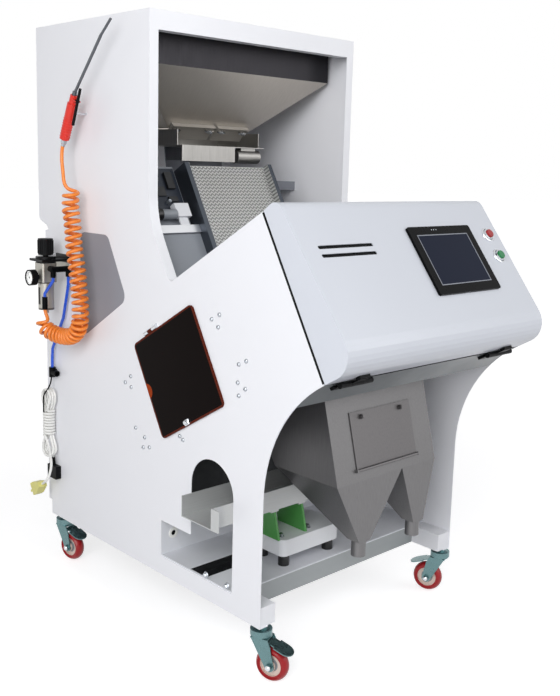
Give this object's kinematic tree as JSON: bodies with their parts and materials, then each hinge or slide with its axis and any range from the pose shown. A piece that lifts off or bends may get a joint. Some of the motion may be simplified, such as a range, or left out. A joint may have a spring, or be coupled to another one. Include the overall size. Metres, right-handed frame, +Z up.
{
  "type": "optical colour sorter",
  "caption": "Floor-standing optical colour sorter on casters, with a top hopper, inclined chute, hinged touch-screen console and a twin-spout outlet under its curved front.",
  "frame": {"origin": "on the floor, under the middle of the side panels' base, on the mid-plane between the two panels", "axes": "+Z up, -Y towards the operator at the console, +X to the operator's right"},
  "size_m": [0.7705, 1.1194, 1.411],
  "materials": {
    "white_paint": "smooth powder coat",
    "grey_paint": "satin paint",
    "sheet_steel": "mill-finish stainless sheet",
    "chute_steel": "bead-textured stainless",
    "dark_steel": "dark plated",
    "chrome": "bright plated",
    "alloy": "satin cast",
    "lamp_glass": "clear",
    "tinted_acrylic": "dark tinted, polished",
    "display": "lit display",
    "black_plastic": "matte",
    "spring_green": "laminated glass fibre",
    "base_plastic": "satin paint",
    "stop_red": "moulded",
    "start_green": "moulded",
    "gun_red": "moulded",
    "tube_blue": "polyurethane tube",
    "hose_orange": "polyurethane spiral hose",
    "cord_white": "PVC sheath",
    "plug_yellow": "moulded",
    "zinc": "zinc plated",
    "wheel_red": "polyurethane"
  },
  "bodies": {
    "cabinet": {"left_panel": "white_paint", "right_panel": "white_paint", "top_frame": "white_paint", "rear_cover": "white_paint", "base_frame": "white_paint", "base_plate": "white_paint", "side_cover": "grey_paint", "underside_panel": "white_paint", "feed_hopper": "sheet_steel", "feeder_drive": "dark_steel", "chute": "chute_steel", "optics_boxes": "grey_paint", "optics_glass": "lamp_glass", "camera_unit": "black_plastic", "ejector_manifold": "alloy", "outlet_hopper": "sheet_steel", "discharge_springs": "spring_green", "discharge_base": "base_plastic", "hinge_fixed": "black_plastic", "window_hinge": "chrome", "regulator_body": "alloy", "pressure_gauge": "black_plastic", "air_fittings": "black_plastic", "air_tubes": "tube_blue", "gun_body": "gun_red", "gun_nozzle": "dark_steel", "gun_hook": "chrome", "hose_tail": "hose_orange", "hose_coil": "hose_orange", "cord_inlet": "black_plastic", "cord_hank": "cord_white", "cord_tail": "cord_white", "power_plug": "plug_yellow"},
    "cover": {"console_cover": "white_paint", "hinge_moving": "black_plastic", "screen_bezel": "black_plastic", "screen_glass": "display", "button_bezels": "chrome"},
    "stop_button": {"stop_button": "stop_red"},
    "start_button": {"start_button": "start_green"},
    "window": {"window_pane": "tinted_acrylic"},
    "outlet_door": {"outlet_door": "sheet_steel"},
    "gate_left": {"feed_gate_left": "chrome"},
    "gate_right": {"feed_gate_right": "chrome"},
    "feeder": {"feeder_trough": "sheet_steel"},
    "discharge": {"discharge_tray": "sheet_steel"},
    "knob": {"regulator_knob": "black_plastic"},
    "trigger": {"gun_trigger": "black_plastic"},
    "caster_fl": {"fork_fl": "zinc"},
    "wheel_fl": {"wheel_fl": "wheel_red"},
    "pedal_fl": {"pedal_fl": "zinc"},
    "caster_fr": {"fork_fr": "zinc"},
    "wheel_fr": {"wheel_fr": "wheel_red"},
    "pedal_fr": {"pedal_fr": "zinc"},
    "caster_rl": {"fork_rl": "zinc"},
    "wheel_rl": {"wheel_rl": "wheel_red"},
    "pedal_rl": {"pedal_rl": "zinc"},
    "caster_rr": {"fork_rr": "zinc"},
    "wheel_rr": {"wheel_rr": "wheel_red"},
    "pedal_rr": {"pedal_rr": "zinc"}
  },
  "joints": [
    {"name": "console_hinge", "type": "hinge", "parent": "cabinet", "child": "cover", "pos_m": [0, -0.5912, 0.67046], "axis": [1, 0, 0], "range_deg": [0, 70]},
    {"name": "stop_button_press", "type": "slide", "parent": "cover", "child": "stop_button", "axis": [0, 0.7986, -0.6018], "range_m": [0, 0.004], "stiffness_N_per_m": 400, "springref_m": -0.002},
    {"name": "start_button_press", "type": "slide", "parent": "cover", "child": "start_button", "axis": [0, 0.7986, -0.6018], "range_m": [0, 0.004], "stiffness_N_per_m": 400, "springref_m": -0.002},
    {"name": "window_hinge", "type": "hinge", "parent": "cabinet", "child": "window", "pos_m": [-0.3344, -0.07705, 0.72257], "axis": [0, 0.866, -0.5], "range_deg": [0, 100]},
    {"name": "outlet_door_hinge", "type": "hinge", "parent": "cabinet", "child": "outlet_door", "pos_m": [0, -0.4828, 0.43222], "axis": [1, 0, 0], "range_deg": [0, 110]},
    {"name": "gate_left_slide", "type": "slide", "parent": "cabinet", "child": "gate_left", "axis": [0, -0.6597, 0.7516], "range_m": [0, 0.03]},
    {"name": "gate_right_slide", "type": "slide", "parent": "cabinet", "child": "gate_right", "axis": [0, -0.6597, 0.7516], "range_m": [0, 0.03]},
    {"name": "feeder_shake", "type": "slide", "parent": "cabinet", "child": "feeder", "axis": [0, 1, 0], "range_m": [-0.0005, 0.0005], "stiffness_N_per_m": 20000},
    {"name": "discharge_shake", "type": "slide", "parent": "cabinet", "child": "discharge", "axis": [1, 0, 0], "range_m": [-0.0005, 0.0005], "stiffness_N_per_m": 20000},
    {"name": "regulator_turn", "type": "hinge", "parent": "cabinet", "child": "knob", "pos_m": [-0.38, 0.353, 0.858], "axis": [0, 0, 1], "range_deg": [-360, 360]},
    {"name": "trigger_pull", "type": "hinge", "parent": "cabinet", "child": "trigger", "pos_m": [-0.374, 0.20406, 1.21615], "axis": [1, 0, 0], "range_deg": [0, 6], "stiffness_Nm_per_rad": 0.6, "springref_deg": -2.86},
    {"name": "swivel_fl", "type": "hinge", "parent": "cabinet", "child": "caster_fl", "pos_m": [-0.312, -0.414, 0.1], "axis": [0, 0, 1], "continuous": true},
    {"name": "spin_fl", "type": "hinge", "parent": "caster_fl", "child": "wheel_fl", "pos_m": [-0.30161, -0.44107, 0.0375], "axis": [0.9336, 0.3584, 0], "continuous": true},
    {"name": "brake_fl", "type": "hinge", "parent": "caster_fl", "child": "pedal_fl", "pos_m": [-0.30483, -0.43267, 0.085], "axis": [0.9336, 0.3584, 0], "range_deg": [0, 12]},
    {"name": "swivel_fr", "type": "hinge", "parent": "cabinet", "child": "caster_fr", "pos_m": [0.312, -0.414, 0.1], "axis": [0, 0, 1], "continuous": true},
    {"name": "spin_fr", "type": "hinge", "parent": "caster_fr", "child": "wheel_fr", "pos_m": [0.30161, -0.38693, 0.0375], "axis": [-0.9336, -0.3584, 0], "continuous": true},
    {"name": "brake_fr", "type": "hinge", "parent": "caster_fr", "child": "pedal_fr", "pos_m": [0.30483, -0.39533, 0.085], "axis": [-0.9336, -0.3584, 0], "range_deg": [0, 12]},
    {"name": "swivel_rl", "type": "hinge", "parent": "cabinet", "child": "caster_rl", "pos_m": [-0.312, 0.39, 0.1], "axis": [0, 0, 1], "continuous": true},
    {"name": "spin_rl", "type": "hinge", "parent": "caster_rl", "child": "wheel_rl", "pos_m": [-0.30696, 0.36144, 0.0375], "axis": [0.9848, 0.1736, 0], "continuous": true},
    {"name": "brake_rl", "type": "hinge", "parent": "caster_rl", "child": "pedal_rl", "pos_m": [-0.30853, 0.3703, 0.085], "axis": [0.9848, 0.1736, 0], "range_deg": [0, 12]},
    {"name": "swivel_rr", "type": "hinge", "parent": "cabinet", "child": "caster_rr", "pos_m": [0.312, 0.39, 0.1], "axis": [0, 0, 1], "continuous": true},
    {"name": "spin_rr", "type": "hinge", "parent": "caster_rr", "child": "wheel_rr", "pos_m": [0.31704, 0.36144, 0.0375], "axis": [0.9848, 0.1736, 0], "continuous": true},
    {"name": "brake_rr", "type": "hinge", "parent": "caster_rr", "child": "pedal_rr", "pos_m": [0.31547, 0.3703, 0.085], "axis": [0.9848, 0.1736, 0], "range_deg": [0, 12]}
  ]
}
